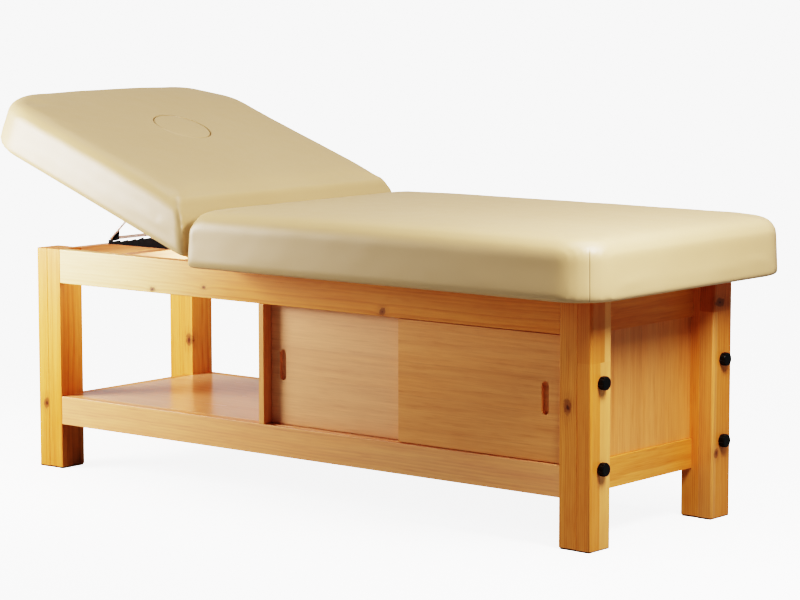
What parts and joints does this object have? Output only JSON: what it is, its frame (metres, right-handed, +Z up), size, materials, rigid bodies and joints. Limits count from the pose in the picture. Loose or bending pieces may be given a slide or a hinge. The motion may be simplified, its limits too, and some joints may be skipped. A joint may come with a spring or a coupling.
{
  "type": "spa bed with cabinet base",
  "caption": "Wooden spa bed with a padded top whose head section tilts on a rod bail and toothed racks, over an open shelf and a cabinet with sliding doors",
  "frame": {"origin": "on the floor, under the middle of the whole bed's box, midway between the door side and the back", "axes": "+X to the foot end, +Y from the door side to the back, +Z up"},
  "size_m": [1.8522, 0.792, 0.9259],
  "materials": {
    "pine": "clear satin lacquer on pine",
    "plywood": "sanded plywood",
    "vinyl_over_foam": "cream vinyl-coated upholstery fabric with a soft sheen, over foam",
    "plated_steel": "bright zinc plate",
    "black_steel": "black painted steel",
    "black_plastic": "black moulded plastic",
    "aluminium_track": "mill finish",
    "rubber_feet": "dark rubber"
  },
  "bodies": {
    "frame": {"post_head_front": "pine", "post_head_back": "pine", "post_foot_front": "pine", "post_foot_back": "pine", "post_feet": "rubber_feet", "leg_tracks": "aluminium_track", "rail_upper_front": "pine", "rail_upper_back": "pine", "rail_lower_front": "pine", "rail_lower_back": "pine", "end_rail_upper_head": "pine", "end_rail_upper_foot": "pine", "end_rail_lower_head": "pine", "end_rail_lower_foot": "pine", "end_panel": "pine", "floor_board": "pine", "floor_cleats": "pine", "partition": "pine", "back_panel": "plywood", "cabinet_top": "plywood", "door_track": "pine", "flat_batten_front": "pine", "flat_batten_back": "pine", "flat_batten_foot": "pine", "flat_batten_hinge": "pine", "flat_deck": "plywood", "flat_cushion": "vinyl_over_foam", "flat_band": "vinyl_over_foam", "hinge_leaves": "plated_steel", "racks": "black_steel", "rack_bearer": "pine"},
    "head_section": {"head_batten_front": "pine", "head_batten_back": "pine", "head_batten_end": "pine", "head_batten_hinge": "pine", "head_deck": "plywood", "head_cushion": "vinyl_over_foam", "head_band": "vinyl_over_foam", "hinge_straps": "plated_steel", "bail_brackets": "plated_steel"},
    "face_plug": {"face_plug_cushion": "vinyl_over_foam", "face_plug_board": "plywood"},
    "lift_bail": {"bail": "plated_steel", "bail_pawls": "black_steel"},
    "left_door": {"door_left": "pine"},
    "right_door": {"door_right": "pine"},
    "leg_head_front": {"leg_board_head_front": "pine"},
    "leg_head_back": {"leg_board_head_back": "pine"},
    "leg_foot_front": {"leg_board_foot_front": "pine"},
    "leg_foot_back": {"leg_board_foot_back": "pine"},
    "clamp_head_front_upper": {"knob_head_front_upper": "black_plastic"},
    "clamp_head_front_lower": {"knob_head_front_lower": "black_plastic"},
    "clamp_head_back_upper": {"knob_head_back_upper": "black_plastic"},
    "clamp_head_back_lower": {"knob_head_back_lower": "black_plastic"},
    "clamp_foot_front_upper": {"knob_foot_front_upper": "black_plastic"},
    "clamp_foot_front_lower": {"knob_foot_front_lower": "black_plastic"},
    "clamp_foot_back_upper": {"knob_foot_back_upper": "black_plastic"},
    "clamp_foot_back_lower": {"knob_foot_back_lower": "black_plastic"}
  },
  "joints": [
    {"name": "head_tilt", "type": "hinge", "parent": "frame", "child": "head_section", "pos_m": [-0.17448, 0, 0.536], "axis": [0, 1, 0], "range_deg": [-20.5, 5]},
    {"name": "bail_swing", "type": "hinge", "parent": "head_section", "child": "lift_bail", "pos_m": [-0.57973, 0, 0.70994], "axis": [0, 1, 0], "range_deg": [-15.5, 63.55]},
    {"name": "plug_lift", "type": "slide", "parent": "head_section", "child": "face_plug", "axis": [0.3502, 0, 0.9367], "range_m": [0, 0.2]},
    {"name": "left_door_slide", "type": "slide", "parent": "frame", "child": "left_door", "axis": [1, 0, 0], "range_m": [0, 0.405]},
    {"name": "right_door_slide", "type": "slide", "parent": "frame", "child": "right_door", "axis": [1, 0, 0], "range_m": [-0.397, 0]},
    {"name": "leg_head_front_slide", "type": "slide", "parent": "frame", "child": "leg_head_front", "axis": [0, 0, 1], "range_m": [-0.15, 0]},
    {"name": "leg_head_back_slide", "type": "slide", "parent": "frame", "child": "leg_head_back", "axis": [0, 0, 1], "range_m": [-0.15, 0]},
    {"name": "leg_foot_front_slide", "type": "slide", "parent": "frame", "child": "leg_foot_front", "axis": [0, 0, 1], "range_m": [-0.15, 0]},
    {"name": "leg_foot_back_slide", "type": "slide", "parent": "frame", "child": "leg_foot_back", "axis": [0, 0, 1], "range_m": [-0.15, 0]},
    {"name": "clamp_head_front_upper_turn", "type": "hinge", "parent": "leg_head_front", "child": "clamp_head_front_upper", "pos_m": [-0.84188, -0.234, 0.362], "axis": [1, 0, 0], "continuous": true},
    {"name": "clamp_head_front_lower_turn", "type": "hinge", "parent": "leg_head_front", "child": "clamp_head_front_lower", "pos_m": [-0.84188, -0.234, 0.177], "axis": [1, 0, 0], "continuous": true},
    {"name": "clamp_head_back_upper_turn", "type": "hinge", "parent": "leg_head_back", "child": "clamp_head_back_upper", "pos_m": [-0.84188, 0.234, 0.362], "axis": [1, 0, 0], "continuous": true},
    {"name": "clamp_head_back_lower_turn", "type": "hinge", "parent": "leg_head_back", "child": "clamp_head_back_lower", "pos_m": [-0.84188, 0.234, 0.177], "axis": [1, 0, 0], "continuous": true},
    {"name": "clamp_foot_front_upper_turn", "type": "hinge", "parent": "leg_foot_front", "child": "clamp_foot_front_upper", "pos_m": [0.84012, -0.234, 0.362], "axis": [1, 0, 0], "continuous": true},
    {"name": "clamp_foot_front_lower_turn", "type": "hinge", "parent": "leg_foot_front", "child": "clamp_foot_front_lower", "pos_m": [0.84012, -0.234, 0.177], "axis": [1, 0, 0], "continuous": true},
    {"name": "clamp_foot_back_upper_turn", "type": "hinge", "parent": "leg_foot_back", "child": "clamp_foot_back_upper", "pos_m": [0.84012, 0.234, 0.362], "axis": [1, 0, 0], "continuous": true},
    {"name": "clamp_foot_back_lower_turn", "type": "hinge", "parent": "leg_foot_back", "child": "clamp_foot_back_lower", "pos_m": [0.84012, 0.234, 0.177], "axis": [1, 0, 0], "continuous": true}
  ],
  "couplings": [
    {"joint": "bail_swing", "follows": "head_tilt", "ratio": -3.1}
  ]
}
